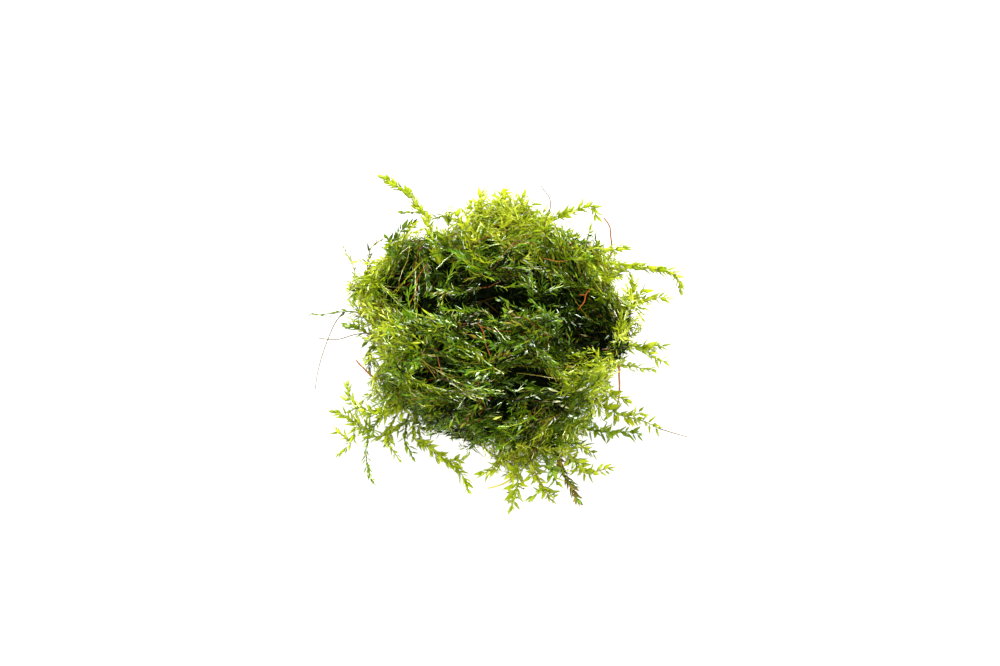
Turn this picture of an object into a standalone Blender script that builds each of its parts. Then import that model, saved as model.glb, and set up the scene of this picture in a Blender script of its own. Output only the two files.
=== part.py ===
"""A loose clump of leafy moss, resting on a flat surface.

Most of the clump is one dense wad of tangled shoots. A crease runs across the top of the wad
and opens into a hollow at its right end. Stray shoots, bare stems and root hairs stick out of
the wad all round, each of them a separate strand.

Metres, +Z up. The origin is the middle of the flat patch that the wad rests on, +X is the
right-hand side and -Y is the front.
"""

import math
import random
from collections import namedtuple

import bmesh
import bpy
from mathutils import Vector, noise
from mathutils.bvhtree import BVHTree

MM = 0.001
UP = Vector((0, 0, 1))
NOISE_SEED = 3

# The wad: swellings of the tangle, each a centre and three half-widths, in millimetres. The skin
# is as far from WAD_CENTRE, each way, as the swelling that reaches furthest.
WAD_CENTRE = Vector((0, 0, 18))
LOBES = (
    ((0, 0, 15), (28, 29, 24)),  # middle
    ((4, 12, 27), (20, 16, 14)),  # back roll
    ((21, 11, 24), (13.5, 13, 13)),  # right end of the back roll
    ((-20, 13, 26), (11, 12, 12)),  # left end of the back roll
    ((-24, 8, 18), (9.5, 11, 12)),  # left shoulder
    ((-3, -12, 20), (26, 17, 20)),  # front roll
    ((17, -14, 16), (11, 13, 15)),  # right end of the front roll
    ((30, 1, 23), (8, 13, 11)),  # rim at the right of the hollow
    ((4, 21.5, 32.5), (12, 9, 9)),  # top tuft
    ((13, -22, 6), (12, 8.5, 6)),  # foot at the front
)
LUMPS = ((10 * MM, 2.4 * MM), (4 * MM, 1.2 * MM))  # how far apart they are and how high
FORM_SUBDIVISIONS = 6
FORM_SMOOTHING = 12
WAD_TRIANGLES = 2800

# The crease is a groove between two points of the top. The hollow is a round pit at its end.
CREASE_ENDS = ((-9, -3.5), (15, -4.5))
CREASE_HALF_WIDTH = 4.6 * MM
CREASE_DEPTH = 18 * MM
HOLLOW_CENTRE = (24, -4)
HOLLOW_HALF_WIDTHS = (12.5 * MM, 9.5 * MM)
HOLLOW_DEPTH = 18 * MM
DENT_WAVER = 2.5 * MM
DENT_WAVER_SPACING = 8 * MM
DENT_STEEPNESS = 2  # at 2, the wall is as wide as half the dent's half-width
DENTED_ABOVE = 18 * MM

# The wad's locks: shoot ends that stand out of its surface.
LOCK_SEED = 7
LOCK_COUNT = 300
LOCK_LENGTH = (5.0 * MM, 8.5 * MM)
LOCK_RISE = (32, 62)  # degrees off the surface at the root
LOCK_BEND = 18  # degrees towards the surface at each joint
LOCK_RADII = (1.0 * MM, 0.6 * MM)
LOCK_SPACING = 2.6 * MM
LOCK_ROOM = 1.6 * MM  # kept round a lock, free of strands
LOCK_LIFT = 1.2 * MM  # how far off the skin its last two joints are, at least
LOCK_LEAST_DENT = 1 * MM  # a place lowered more than this is in the crease or the hollow
LOCK_RISES_BELOW = 12 * MM  # near the floor, locks lean up and not down
LOCK_SWIRL = 0.6
LOCK_WAVER = 1.6
LOCK_WAVER_SPACING = 14 * MM

# Stray strands.
GAP = 0.35 * MM  # kept between any two strands, and between a strand and the wad
FLOOR = 0.3 * MM  # the lowest that a strand lies
TIP_TAPER = 0.35
ROUTE_STEPS = 40  # curve points worked out from one point of a route to the next
ROUTE_SPACING = 0.25 * MM  # how far apart the points are that a stem's rings are picked from
LEAF_LEAN_SPREAD = (-12, 14)  # degrees
LEAF_LENGTH_SPREAD = (0.6, 1.15)
LEAF_SHORTENING = 0.75
LEAST_LEAF = 0.6 * MM
LEAF_RADIUS = 0.1 * MM

Kind = namedtuple("Kind", "radius spacing leaf_length leaf_angle look")
LEAFY = Kind(0.6 * MM, 2.1 * MM, 3.0 * MM, 36, "moss")
SPARSE = Kind(0.45 * MM, 2.7 * MM, 2.4 * MM, 28, "moss")
BARE = Kind(0.4 * MM, 2.5 * MM, 0, 0, "stem")
HAIR = Kind(0.25 * MM, 2.5 * MM, 0, 0, "stem")

# Each strand's route, from inside the wad, or inside the strand that it forks from, to its tip,
# in millimetres. A strand comes after the one that it forks from.
STRANDS = {
    "shoot_back_left_tall": (LEAFY, (-12, 10, 28), (-15.5, 16, 37), (-17.5, 22.5, 41),
        (-19.5, 24.5, 42.5), (-21.5, 27, 44.5), (-25, 28.5, 46), (-29, 30, 48)),
    "shoot_back_left_arched": (SPARSE, (-9, 12, 30), (-11.5, 18, 37), (-11.5, 22, 38.5),
        (-12.5, 23.5, 40), (-15.5, 24, 38.5), (-19.5, 26, 38.5), (-24.5, 27, 37.5)),
    "shoot_left_arched": (SPARSE, (-22, 11, 26), (-27, 17, 34), (-25.5, 18, 37.5), (-23, 20.5, 38.5),
        (-20.5, 22.5, 38.5)),
    "shoot_left_upright": (SPARSE, (-26, 10, 16), (-33, 17.5, 19), (-33, 20, 26), (-32, 20.5, 31),
        (-29, 22, 32.5)),
    "shoot_left_outer": (SPARSE, (-27, 6, 13), (-35.5, 14, 16), (-36.3, 18, 20), (-37.7, 22, 23),
        (-40.3, 27, 24)),
    "shoot_left_level": (SPARSE, (-26, 8, 11), (-35, 14, 11), (-40, 14, 12), (-45, 14, 11),
        (-50, 14, 11)),
    "shoot_left_low": (LEAFY, (-28, 4, 10), (-33.5, 8, 10), (-36.5, 10, 10), (-39.5, 11, 10)),
    "shoot_top_1": (LEAFY, (-4, 16, 32), (-8, 20.5, 39), (-7, 23, 40.5), (-5.5, 26.5, 42.5)),
    "shoot_top_2": (LEAFY, (0, 20, 34), (-3, 24, 42), (-3, 26.5, 43), (-2.5, 29, 43.5)),
    "shoot_top_3": (LEAFY, (4, 20, 34), (2, 25, 42), (2.5, 27, 43.5), (4, 29, 44)),
    "shoot_top_4": (LEAFY, (8, 20, 32), (8.5, 25, 41), (8, 27.5, 42), (9, 29, 42)),
    "shoot_back_right_arched": (LEAFY, (12, 13, 29), (13.5, 21, 36), (15.5, 24.5, 37.5),
        (20, 25.5, 38.5), (24, 27, 39.5), (26.5, 27.5, 39), (28, 26.5, 36)),
    "root_hair_top": (HAIR, (15, 24.5, 37.5), (15.5, 29, 40), (13, 32.5, 42)),
    "shoot_back_right_twig": (SPARSE, (20, 12, 27), (24.5, 20, 30), (25.5, 23, 32), (26.5, 25, 34)),
    "bare_stem_right": (BARE, (24, 10, 19), (31.5, 23, 23), (31.8, 26.5, 29.5), (31.3, 28, 31.5),
        (30, 29, 33)),
    "shoot_right_bushy_1": (LEAFY, (22, 12, 24), (27, 19, 27), (30.5, 20.5, 29), (33.5, 20.5, 30),
        (36, 21.5, 30)),
    "shoot_right_bushy_2": (LEAFY, (22, 10, 26), (29, 16, 29), (32.5, 16, 29), (35.5, 15.5, 29)),
    "shoot_right_long": (LEAFY, (22, 10, 18), (29, 18, 18), (35, 21, 21), (40, 21, 22.5), (44, 20, 22.5),
        (47.5, 19.5, 22), (50, 18.5, 20), (51, 17, 16.5)),
    "shoot_right_middle": (LEAFY, (28, 4, 18), (37, 11, 18), (40.5, 12, 19), (44, 12, 20), (47, 12, 20)),
    "shoot_right_tip": (LEAFY, (28, 4, 22), (36, 9, 23), (37.5, 11.5, 24), (37, 15, 26)),
    "shoot_right_low": (LEAFY, (28, -2, 13), (37.5, 2, 12), (41.5, 1.5, 10), (44, 1, 8), (47, 0.5, 7)),
    "shoot_right_low_fork": (LEAFY, (40, 2, 10.5), (43, 3, 11), (46, 2.2, 11)),
    "shoot_right_thin": (SPARSE, (27, -3, 8), (36, 0, 6), (40, 0, 5), (44, 0, 4)),
    "bare_stem_right_low": (BARE, (27, -1, 11), (33.3, -1, 9.5), (34, -4, 6.5), (34, -8, 3.5),
        (33, -12, 1)),
    "shoot_front_right_high": (LEAFY, (20, -10, 12), (29.5, -12.5, 11), (33, -14, 10.5), (36, -15, 9.5)),
    "shoot_front_right": (LEAFY, (20, -12, 8), (29.5, -13.5, 6), (34.5, -16, 5), (40.5, -17.5, 4),
        (44.3, -19, 3)),
    "root_hair_front_right": (HAIR, (44.3, -19, 3), (48.5, -20, 2.2), (52, -20.7, 1.5)),
    "shoot_front_right_dark": (LEAFY, (18, -18, 6), (26.5, -21, 5), (32, -21, 4), (36, -20.5, 3.5),
        (39.5, -20.8, 3)),
    "shoot_front_right_short": (LEAFY, (16, -18, 5), (22.5, -24.5, 4), (25, -26, 3.2), (27, -27, 2.7)),
    "shoot_front_right_hooked": (LEAFY, (14, -18, 5), (18.5, -26, 4), (21.5, -29, 3), (24, -32, 2.5),
        (26.5, -33, 2.5), (31.5, -31, 2)),
    "shoot_front_brown": (LEAFY, (11, -20, 5), (16.5, -28, 4), (18.5, -33, 3), (20.5, -37.5, 2.5),
        (23, -43, 2)),
    "shoot_front_raised": (LEAFY, (13, -21, 8), (14, -31, 7), (16, -36, 6.5), (17, -40, 6)),
    "shoot_front_2": (LEAFY, (8, -20, 5), (10, -28, 4), (11.5, -34, 3), (14, -39, 2.5), (15.5, -42, 2)),
    "shoot_front_2_fork": (SPARSE, (14, -39, 3), (12, -41.5, 5), (9.5, -43, 3)),
    "shoot_front_1": (LEAFY, (5, -20, 5), (6, -28, 4), (7, -34, 3), (6, -40.5, 2.5), (5.2, -45, 2)),
    "bare_stem_front": (BARE, (6.8, -34, 3), (3, -36.5, 2), (-1, -38, 2)),
    "shoot_front_crossing": (LEAFY, (1, -20, 5), (2.5, -29, 4), (0.5, -33, 4), (-3, -34.5, 3.5)),
    "shoot_front_long": (LEAFY, (-20, -15, 8), (-20.5, -23.5, 5.5), (-16.5, -26, 4), (-12.5, -29.5, 3.5),
        (-9, -32.5, 3), (-7, -35.5, 2.5), (-6, -39, 2)),
    "shoot_front_left_short": (LEAFY, (-22, -14, 4), (-23, -22.5, 3), (-21.5, -26, 2.5),
        (-20.7, -28.7, 2)),
    "shoot_front_left_leaf": (LEAFY, (-24, -14, 6), (-28, -22.5, 4), (-26, -26.3, 3), (-24, -29, 2)),
    "shoot_front_left_down": (SPARSE, (-22, -10, 10), (-27, -14.5, 9), (-30, -19, 7), (-32.5, -23.5, 5),
        (-33, -27.3, 3.3), (-32.3, -32.5, 2.3), (-30.5, -36.7, 2)),
    "shoot_left_front_outer": (SPARSE, (-24, -6, 9), (-34.5, -13, 7), (-35.7, -20, 5), (-37.8, -25, 3),
        (-41.2, -27.6, 2)),
    "shoot_left_front_fork": (SPARSE, (-37.4, -24, 3.4), (-39, -21, 2.2), (-41.5, -18.3, 2)),
    "shoot_left_front_low": (LEAFY, (-22, -16, 2.5), (-30, -21.3, 2.5), (-34.7, -18.2, 2.5),
        (-38.5, -15, 3), (-42, -14, 4)),
    "shoot_left_front_dark": (LEAFY, (-20, -14, 13), (-27.5, -21, 12), (-32.3, -19.7, 11),
        (-35, -17.8, 10.5), (-37.5, -15, 10.5), (-38.3, -10, 10.5)),
    "bare_stem_left": (BARE, (-22, -10, 12), (-30, -9.5, 12), (-34.5, -5.5, 12.5), (-36, -4, 13.3)),
    "shoot_left_bud": (SPARSE, (-26, 3, 12), (-32.3, 0, 13), (-32.8, -2, 10), (-32.8, -3, 7)),
    "root_hair_left": (HAIR, (-40, 14, 12), (-42.5, 11, 10.3), (-45.2, 4.5, 7.3), (-46.8, -0.8, 4.3),
        (-47.5, -4.5, 1.5)),
    "root_hair_left_short": (HAIR, (-28, 5, 14), (-36, 7, 11), (-41.5, 5.5, 10.5), (-46.5, 5.5, 11)),
    "shoot_back_1": (LEAFY, (-20, 16, 10), (-29, 24, 6), (-34, 30, 3)),
    "shoot_back_2": (LEAFY, (-8, 20, 9), (-14, 33, 5), (-22, 43, 2.5)),
    "shoot_back_3": (LEAFY, (5, 22, 9), (7, 36, 5), (11, 45, 2.5)),
    "shoot_back_4": (LEAFY, (16, 16, 10), (25, 30, 6), (29, 37, 3)),
}

LOOKS = {
    "moss": ((0.09, 0.17, 0.02), 0.45),
    "stem": ((0.16, 0.07, 0.03), 0.55),
}


def clear_scene():
    for obj in list(bpy.data.objects):
        bpy.data.objects.remove(obj, do_unlink=True)


def material(name):
    made = bpy.data.materials.get(name)
    if made:
        return made
    colour, roughness = LOOKS[name]
    made = bpy.data.materials.new(name)
    made.use_nodes = True
    shader = made.node_tree.nodes["Principled BSDF"]
    shader.inputs["Base Color"].default_value = (*colour, 1)
    shader.inputs["Roughness"].default_value = roughness
    shader.inputs["Metallic"].default_value = 0
    return made


def add_object(name, bm, look):
    bmesh.ops.triangulate(bm, faces=bm.faces)
    mesh = bpy.data.meshes.new(name)
    bm.to_mesh(mesh)
    bm.free()
    mesh.materials.append(material(look))
    obj = bpy.data.objects.new(name, mesh)
    bpy.context.scene.collection.objects.link(obj)
    return obj


def through_modifiers(bm, *modifiers):
    """bm after these modifiers, each a type and its settings. bm itself is freed."""
    obj = add_object("form", bm, "moss")
    for kind, settings in modifiers:
        modifier = obj.modifiers.new(kind.lower(), kind)
        for setting, value in settings.items():
            setattr(modifier, setting, value)
    bpy.context.view_layer.update()
    changed = bmesh.new()
    changed.from_object(obj, bpy.context.evaluated_depsgraph_get())
    bpy.data.objects.remove(obj, do_unlink=True)
    changed.normal_update()
    return changed


# ---------------------------------------------------------------- the wad


def ease(share):
    """0 to 1 as a smooth step."""
    share = min(max(share, 0), 1)
    return share * share * (3 - 2 * share)


def dent_depth(point):
    """How far the crease and the hollow lower the wad's top at this place."""
    place = (point + noise.noise_vector(point / DENT_WAVER_SPACING) * DENT_WAVER).xy
    start, end = (Vector(corner) * MM for corner in CREASE_ENDS)
    along = (place - start).dot(end - start) / (end - start).length_squared
    off_crease = (place - start.lerp(end, min(max(along, 0), 1))).length / CREASE_HALF_WIDTH
    off_hollow = place - Vector(HOLLOW_CENTRE) * MM
    off_hollow = math.hypot(off_hollow.x / HOLLOW_HALF_WIDTHS[0], off_hollow.y / HOLLOW_HALF_WIDTHS[1])
    crease = CREASE_DEPTH * ease((1 - off_crease) * DENT_STEEPNESS)
    hollow = HOLLOW_DEPTH * ease((1 - off_hollow) * DENT_STEEPNESS)
    return max(crease, hollow)


def reach(direction):
    """How far the swellings reach from the wad's centre in this direction, in millimetres."""
    furthest = 0
    for centre, half in LOBES:
        start = Vector((WAD_CENTRE - Vector(centre))[i] / half[i] for i in range(3))
        ahead = Vector(direction[i] / half[i] for i in range(3))
        square, across = ahead.dot(ahead), start.dot(ahead)
        inside = across**2 - square * (start.dot(start) - 1)
        if inside > 0:
            furthest = max(furthest, (math.sqrt(inside) - across) / square)
    return furthest


def wad_form():
    """The wad's lumpy skin, closed and cut flat at the floor."""
    bm = bmesh.new()
    bmesh.ops.create_icosphere(bm, subdivisions=FORM_SUBDIVISIONS, radius=1)
    for vert in bm.verts:
        vert.co = (WAD_CENTRE + vert.co * reach(vert.co)) * MM
    bm = through_modifiers(bm, ("SMOOTH", {"iterations": FORM_SMOOTHING}))
    for vert in bm.verts:
        lump = sum(noise.noise(vert.co / spacing) * height for spacing, height in LUMPS)
        vert.co += vert.normal * lump
        if vert.co.z > DENTED_ABOVE and vert.normal.z > 0:
            vert.co -= UP * dent_depth(vert.co)
    fewer = WAD_TRIANGLES / len(bm.faces)
    bm = through_modifiers(bm, ("SMOOTH", {"iterations": 1}), ("DECIMATE", {"ratio": fewer}))
    geometry = [*bm.verts, *bm.edges, *bm.faces]
    cut = bmesh.ops.bisect_plane(bm, geom=geometry, plane_no=(0, 0, -1), clear_outer=True)
    rim = [edge for edge in cut["geom_cut"] if isinstance(edge, bmesh.types.BMEdge)]
    bmesh.ops.edgeloop_fill(bm, edges=rim)
    bmesh.ops.recalc_face_normals(bm, faces=bm.faces)
    return bm


def combed(place):
    """The direction in which the wad's shoots lie at this place: round it, wavering."""
    swirl = UP.cross(place).normalized()
    waver = noise.noise_vector(place / LOCK_WAVER_SPACING)
    return (swirl * LOCK_SWIRL + waver * LOCK_WAVER).normalized()


def lock_joints(face, rng):
    """The middles of the joints of a lock that grows from this face. The last is its tip."""
    normal = face.normal
    place = face.calc_center_median()
    across = combed(place)
    across = (across - normal * across.dot(normal)).normalized()
    if across.z < 0 and place.z < LOCK_RISES_BELOW:
        across = -across
    rise = math.radians(rng.uniform(*LOCK_RISE))
    step = rng.uniform(*LOCK_LENGTH) / 3
    joints = []
    for _ in range(3):
        place = place + (normal * math.sin(rise) + across * math.cos(rise)) * step
        rise -= math.radians(LOCK_BEND)
        joints.append(place)
    return joints


def is_roomy(root, joints, taken, skin, strands):
    """Whether a lock with these joints stays clear of the dents, the skin, other locks and the strands."""
    for start, end in zip([root, *joints], joints):
        if dent_depth(end) > LOCK_LEAST_DENT:
            return False
        if any((end - other).length < LOCK_SPACING for other in taken):
            return False
        places = (start, (start + end) / 2, end)
        if not all(is_clear(place, LOCK_ROOM, strands) for place in places):
            return False
    return all((skin.find_nearest(joint)[0] - joint).length > LOCK_LIFT for joint in joints[1:])


def grow_lock(bm, face, joints):
    """Extrudes the face through the joints and closes it to a point at the last one."""
    for joint, radius in zip(joints, LOCK_RADII):
        face = bmesh.ops.extrude_discrete_faces(bm, faces=[face])["faces"][0]
        here = face.calc_center_median()
        for vert in face.verts:
            vert.co = joint + (vert.co - here).normalized() * radius
    bmesh.ops.poke(bm, faces=[face])["verts"][0].co = joints[-1]


def add_locks(bm, skin, strands):
    """Grows tapered, bent locks out of the wad's skin, where the strands leave room."""
    rng = random.Random(LOCK_SEED)
    faces = [face for face in bm.faces if len(face.verts) == 3]
    rng.shuffle(faces)
    taken = []
    used = set()
    grown = 0
    for face in faces:
        if grown == LOCK_COUNT:
            break
        if face in used:
            continue
        joints = lock_joints(face, rng)
        if is_roomy(face.calc_center_median(), joints, taken, skin, strands):
            used |= {other for edge in face.edges for other in edge.link_faces}
            taken += joints
            grow_lock(bm, face, joints)
            grown += 1


# ---------------------------------------------------------------- strands


def smooth_route(points, spacing):
    """Points about this far apart on a smooth curve through the route's own points."""
    points = [Vector(point) * MM for point in points]
    padded = [points[0] * 2 - points[1], *points, points[-1] * 2 - points[-2]]
    fine = []
    for before, start, end, after in zip(padded, padded[1:], padded[2:], padded[3:]):
        for step in range(ROUTE_STEPS):
            t = step / ROUTE_STEPS
            fine.append(
                start
                + (end - before) * t / 2
                + (before * 2 - start * 5 + end * 4 - after) * t**2 / 2
                + (start * 3 - before - end * 3 + after) * t**3 / 2
            )
    route = [fine[0]]
    for place in fine:
        if (place - route[-1]).length >= spacing:
            route.append(place)
    return route


def is_clear(point, radius, trees):
    """Whether a ball round the point keeps the gap to every tree's surface, and stays above the floor."""
    near = radius + GAP
    return point.z - radius > FLOOR and all(tree.find_nearest(point, near)[0] is None for tree in trees)


def is_outside(point, skin):
    near, normal, _, _ = skin.find_nearest(point)
    return (point - near).dot(normal) > 0


def free_part(kind, points, skin, trees):
    """The route from where it is clear of the wad and of earlier strands, as ring middles and a tip."""
    fine = smooth_route(points, ROUTE_SPACING)
    while not is_outside(fine[0], skin) or not is_clear(fine[0], kind.radius, [skin, *trees]):
        fine.pop(0)
    each = round(kind.spacing / ROUTE_SPACING)
    return [*fine[:-each // 2:each], fine[-1]]


def directions(route, i):
    """The route's direction at ring i, and two directions across it."""
    ahead = (route[min(i + 1, len(route) - 1)] - route[max(i - 1, 0)]).normalized()
    side = ahead.cross(UP)
    side = side.normalized() if side.length > 0.1 else Vector((1, 0, 0))
    return ahead, side, side.cross(ahead).normalized()


def stem(route, radius):
    """A tapered stem of three-sided rings, each turned against the last, and the sides for its leaves."""
    bm = bmesh.new()
    rings = []
    for i, place in enumerate(route[:-1]):
        _, side, over = directions(route, i)
        wide = radius * (1 - (1 - TIP_TAPER) * i / len(route))
        angles = (math.pi / 3 * (i % 2) + k * math.tau / 3 for k in range(3))
        spokes = (side * math.cos(angle) + over * math.sin(angle) for angle in angles)
        rings.append([bm.verts.new(place + spoke * wide) for spoke in spokes])
    leaf_sides = []
    for i, (low, high) in enumerate(zip(rings, rings[1:])):
        step = i % 2
        for k in range(3):
            after = (k + 1) % 3
            leaf_sides.append((i, bm.faces.new((low[k], low[after], high[(k + step) % 3]))))
            bm.faces.new((low[after], high[(after + step) % 3], high[(k + step) % 3]))
    tip = bm.verts.new(route[-1])
    for k in range(3):
        bm.faces.new((rings[-1][k], rings[-1][(k + 1) % 3], tip))
    bm.faces.new(rings[0])
    bmesh.ops.recalc_face_normals(bm, faces=bm.faces)
    return bm, leaf_sides


def add_leaves(bm, leaf_sides, route, kind, trees):
    """Pulls a leaf point out of each of these sides, shorter where something is in its way."""
    rng = random.Random(len(route))
    for i, face in leaf_sides:
        ahead = directions(route, i)[0]
        root = face.calc_center_median()
        out = (face.normal - ahead * face.normal.dot(ahead)).normalized()
        lean = math.radians(kind.leaf_angle + rng.uniform(*LEAF_LEAN_SPREAD))
        pointing = out * math.sin(lean) + ahead * math.cos(lean)
        length = kind.leaf_length * rng.uniform(*LEAF_LENGTH_SPREAD)
        while length > LEAST_LEAF:
            places = (root + pointing * length * share for share in (0.4, 0.7, 1))
            if all(is_clear(place, LEAF_RADIUS, trees) for place in places):
                bmesh.ops.poke(bm, faces=[face])["verts"][0].co = root + pointing * length
                break
            length *= LEAF_SHORTENING


def main():
    clear_scene()
    noise.seed_set(NOISE_SEED)
    wad = wad_form()
    skin = BVHTree.FromBMesh(wad)
    stems, trees = {}, {}
    for name, (kind, *points) in STRANDS.items():
        route = free_part(kind, points, skin, trees.values())
        bm, leaf_sides = stem(route, kind.radius)
        stems[name] = (kind, route, bm, leaf_sides)
        trees[name] = BVHTree.FromBMesh(bm)
    add_locks(wad, skin, trees.values())
    trees["moss_wad"] = BVHTree.FromBMesh(wad)
    add_object("moss_wad", wad, "moss")
    for name, (kind, route, bm, leaf_sides) in stems.items():
        if kind.leaf_length:
            del trees[name]
            add_leaves(bm, leaf_sides, route, kind, trees.values())
            trees[name] = BVHTree.FromBMesh(bm)
        add_object(name, bm, kind.look)


main()
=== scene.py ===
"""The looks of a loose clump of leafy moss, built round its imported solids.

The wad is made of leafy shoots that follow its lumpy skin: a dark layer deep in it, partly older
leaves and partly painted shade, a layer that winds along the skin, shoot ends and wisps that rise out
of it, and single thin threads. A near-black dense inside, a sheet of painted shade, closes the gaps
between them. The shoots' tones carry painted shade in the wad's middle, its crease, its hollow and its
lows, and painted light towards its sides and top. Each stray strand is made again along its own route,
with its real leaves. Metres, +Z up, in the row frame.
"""

import math
from collections import namedtuple

import bmesh
import bpy
import numpy as np
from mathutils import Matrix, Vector, noise
from mathutils.bvhtree import BVHTree

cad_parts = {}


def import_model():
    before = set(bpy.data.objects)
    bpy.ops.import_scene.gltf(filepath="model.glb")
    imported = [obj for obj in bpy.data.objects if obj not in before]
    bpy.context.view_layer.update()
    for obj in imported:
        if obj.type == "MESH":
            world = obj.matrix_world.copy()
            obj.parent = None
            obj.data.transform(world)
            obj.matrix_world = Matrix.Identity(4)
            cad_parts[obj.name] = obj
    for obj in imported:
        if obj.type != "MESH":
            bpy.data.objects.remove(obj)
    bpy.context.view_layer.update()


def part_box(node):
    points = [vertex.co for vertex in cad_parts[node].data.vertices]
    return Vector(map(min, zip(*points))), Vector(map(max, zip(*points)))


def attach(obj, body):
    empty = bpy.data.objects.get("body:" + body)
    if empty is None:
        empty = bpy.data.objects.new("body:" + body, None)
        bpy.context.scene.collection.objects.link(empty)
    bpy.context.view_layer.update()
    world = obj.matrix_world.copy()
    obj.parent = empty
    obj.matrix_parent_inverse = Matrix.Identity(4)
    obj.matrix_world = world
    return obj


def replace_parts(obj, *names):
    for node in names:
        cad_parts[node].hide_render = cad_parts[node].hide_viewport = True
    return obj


MM = 0.001
UP = Vector((0, 0, 1))
BODY = "root"
NOISE_SEED = 3
RANDOM_SEED = 12

# ---------------- the wad's form, as in the solids

WAD_CENTRE = np.array((0, 0, 18)) * MM
LOBES = (
    ((0, 0, 15), (28, 29, 24)),  # middle
    ((4, 12, 27), (20, 16, 14)),  # back roll
    ((21, 11, 24), (13.5, 13, 13)),  # right end of the back roll
    ((-20, 13, 26), (11, 12, 12)),  # left end of the back roll
    ((-24, 8, 18), (9.5, 11, 12)),  # left shoulder
    ((-3, -12, 20), (26, 17, 20)),  # front roll
    ((17, -14, 16), (11, 13, 15)),  # right end of the front roll
    ((30, 1, 23), (8, 13, 11)),  # rim at the right of the hollow
    ((4, 21.5, 32.5), (12, 9, 9)),  # top tuft
    ((13, -22, 6), (12, 8.5, 6)),  # foot at the front
)
LUMPS = ((10 * MM, 2.4 * MM), (4 * MM, 1.2 * MM))  # how far apart they are and how high
FORM_SUBDIVISIONS = 6
FORM_SMOOTHING = 12
CREASE_ENDS = ((-9, -3.5), (15, -4.5))
CREASE_HALF_WIDTH = 4.6 * MM
CREASE_DEPTH = 18 * MM
HOLLOW_CENTRE = (24, -4)
HOLLOW_HALF_WIDTHS = (12.5 * MM, 9.5 * MM)
HOLLOW_DEPTH = 18 * MM
DENT_WAVER = 2.5 * MM
DENT_WAVER_SPACING = 8 * MM
DENT_STEEPNESS = 2
DENTED_ABOVE = 18 * MM


def ease(share):
    """0 to 1 as a smooth step."""
    share = min(max(share, 0), 1)
    return share * share * (3 - 2 * share)


def placed(name, data):
    """A new object in the scene."""
    made = bpy.data.objects.new(name, data)
    bpy.context.scene.collection.objects.link(made)
    return made


def off_line(place, ends):
    """How far this place of the floor plan is off the line between two corners in millimetres."""
    start, end = (Vector(corner) * MM for corner in ends)
    along = (place - start).dot(end - start) / (end - start).length_squared
    return (place - start.lerp(end, min(max(along, 0), 1))).length


def dents(point):
    """How far the crease and the hollow each lower the wad's top at this place."""
    place = (point + noise.noise_vector(point / DENT_WAVER_SPACING) * DENT_WAVER).xy
    off_crease = off_line(place, CREASE_ENDS) / CREASE_HALF_WIDTH
    off_hollow = place - Vector(HOLLOW_CENTRE) * MM
    off_hollow = math.hypot(off_hollow.x / HOLLOW_HALF_WIDTHS[0], off_hollow.y / HOLLOW_HALF_WIDTHS[1])
    crease = CREASE_DEPTH * ease((1 - off_crease) * DENT_STEEPNESS)
    hollow = HOLLOW_DEPTH * ease((1 - off_hollow) * DENT_STEEPNESS)
    return crease, hollow


def reach(ways):
    """How far the swellings reach from the wad's centre in each of these directions."""
    furthest = np.zeros(len(ways))
    for centre, half in LOBES:
        half = np.array(half) * MM
        start = (WAD_CENTRE - np.array(centre) * MM) / half
        ahead = ways / half
        square = (ahead * ahead).sum(1)
        toward = ahead @ start
        inside = toward**2 - square * (start @ start - 1)
        met = (np.sqrt(np.maximum(inside, 0)) - toward) / square
        furthest = np.maximum(furthest, np.where(inside > 0, met, 0))
    return furthest


def wad_skin():
    """The wad's skin as a bmesh, without its locks."""
    bm = bmesh.new()
    bmesh.ops.create_icosphere(bm, subdivisions=FORM_SUBDIVISIONS, radius=1)
    ways = np.array([vert.co for vert in bm.verts])
    places = WAD_CENTRE + ways * reach(ways)[:, None]
    for vert, place in zip(bm.verts, places):
        vert.co = place
    mesh = bpy.data.meshes.new("skin")
    bm.to_mesh(mesh)
    obj = placed("skin", mesh)
    obj.modifiers.new("smooth", "SMOOTH").iterations = FORM_SMOOTHING
    bpy.context.view_layer.update()
    bm.free()
    bm = bmesh.new()
    bm.from_object(obj, bpy.context.evaluated_depsgraph_get())
    bpy.data.objects.remove(obj, do_unlink=True)
    bm.normal_update()
    for vert in bm.verts:
        lump = sum(noise.noise(vert.co / spacing) * height for spacing, height in LUMPS)
        vert.co += vert.normal * lump
        if vert.co.z > DENTED_ABOVE and vert.normal.z > 0:
            vert.co -= UP * max(dents(vert.co))
        vert.co.z = max(vert.co.z, 0)
    bm.normal_update()
    return bm


# ---------------- stray strands, as in the solids

# A style says how a shoot carries its leaves: how far apart they are along the stem, their length
# and width, how far they lean off it in degrees, how they bend, the stem's radius, and how far
# apart the shoot's own short side shoots are. A bare stem has no leaves.
Style = namedtuple("Style", "spacing length width lean bend stem sides")


def styled(spacing, length, width, lean, bend, stem, sides=0):
    """A style whose lengths are given in millimetres."""
    return Style(spacing * MM, length * MM, width * MM, lean, bend, stem * MM, sides * MM)


PLUMP = styled(0.30, 2.8, 1.4, 27, 0.05, 0.36)
LEAFY = styled(0.44, 3.1, 1.2, 34, 0.12, 0.32, 5)
SINGLE = styled(0.38, 3.0, 1.2, 25, 0.1, 0.34)
STARRY = styled(0.55, 3.6, 1.4, 48, 0.16, 0.32, 3.6)
TUFTED = styled(0.50, 2.8, 1.2, 38, 0.12, 0.32, 1.6)
SPARSE = styled(0.62, 2.6, 1.0, 25, 0.1, 0.3, 7)
THIN = styled(1.1, 2.4, 0.85, 22, 0.1, 0.28)
BARE = styled(0, 0, 0, 0, 0, 0.3)
HAIR = styled(0, 0, 0, 0, 0, 0.17)
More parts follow.
